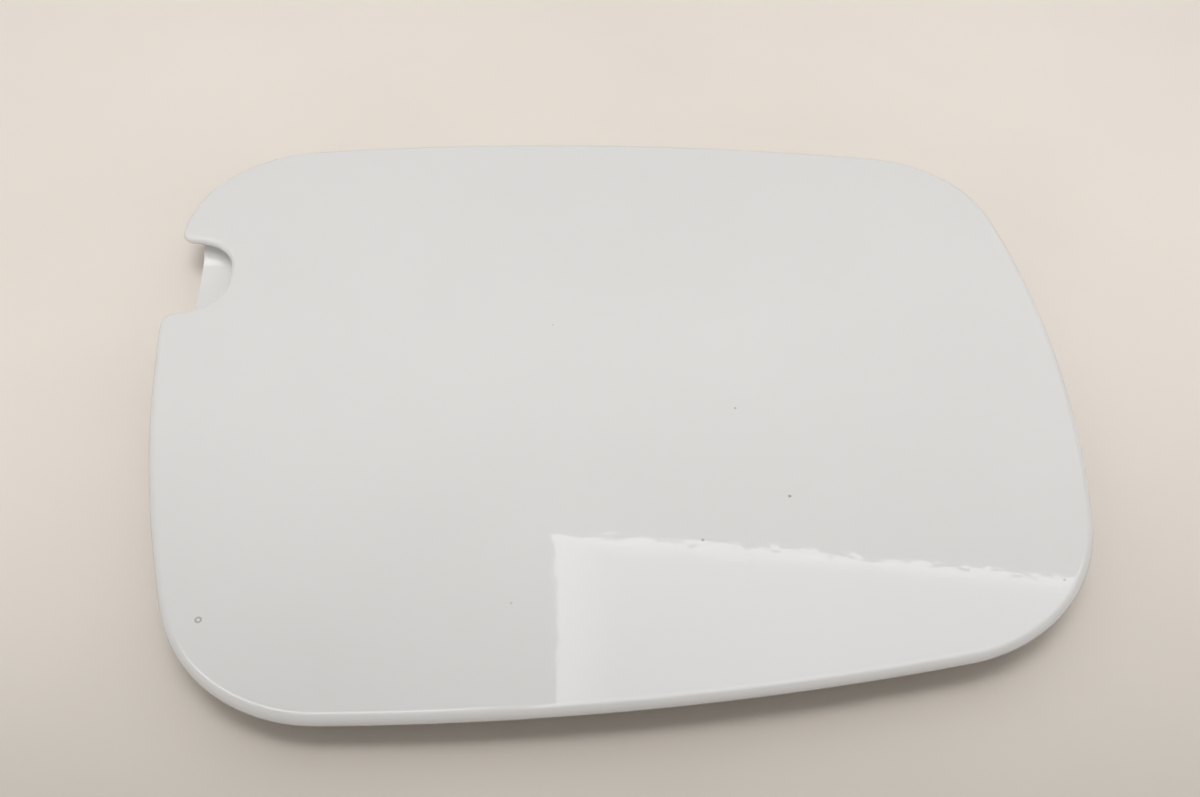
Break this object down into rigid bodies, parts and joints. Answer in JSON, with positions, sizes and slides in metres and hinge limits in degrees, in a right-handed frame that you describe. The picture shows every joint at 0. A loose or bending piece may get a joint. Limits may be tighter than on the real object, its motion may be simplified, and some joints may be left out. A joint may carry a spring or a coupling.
{
  "type": "car fuel door",
  "caption": "Crowned, hemmed car fuel door with a finger notch and cup in one edge, on a spring hinge with a screw-on bracket; catch eye, buffers and cap hanger behind.",
  "frame": {"origin": "under the middle of the door, on the plane of the hinge bracket's foot", "axes": "+X from the latch edge to the hinge edge, +Y up the car's side, +Z out of the body through the painted face"},
  "size_m": [0.1898, 0.158, 0.0164],
  "materials": {
    "body_paint": "gloss",
    "panel_paint": "satin",
    "plated_steel": "satin",
    "pin_steel": "satin",
    "spring_steel": "satin",
    "black_plastic": "matte",
    "natural_plastic": "matte",
    "rubber": "matte",
    "sealer": "matte",
    "mastic": "matte"
  },
  "bodies": {
    "bracket": {"hinge_bracket": "plated_steel", "hinge_pin": "pin_steel", "pin_clip": "spring_steel", "spring_sleeve": "natural_plastic", "stop_pad": "rubber", "hinge_spring": "spring_steel"},
    "door": {"outer_skin": "body_paint", "finger_cup": "body_paint", "inner_panel": "panel_paint", "hem_sealer": "sealer", "mastic_pads": "mastic", "hinge_leaf": "plated_steel", "hinge_doubler": "plated_steel", "leaf_rivets": "plated_steel", "upper_bush": "black_plastic", "lower_bush": "black_plastic", "catch_plate": "plated_steel", "catch_rivets": "plated_steel", "upper_buffer": "rubber", "lower_buffer": "rubber", "cap_hanger": "black_plastic"}
  },
  "joints": [
    {"name": "door_hinge", "type": "hinge", "parent": "bracket", "child": "door", "pos_m": [0.0886, -0.0095, 0.0066], "axis": [0, 1, 0], "range_deg": [0, 90], "stiffness_Nm_per_rad": 0.056, "springref_deg": 38.96, "deforming": ["hinge_spring"]}
  ]
}
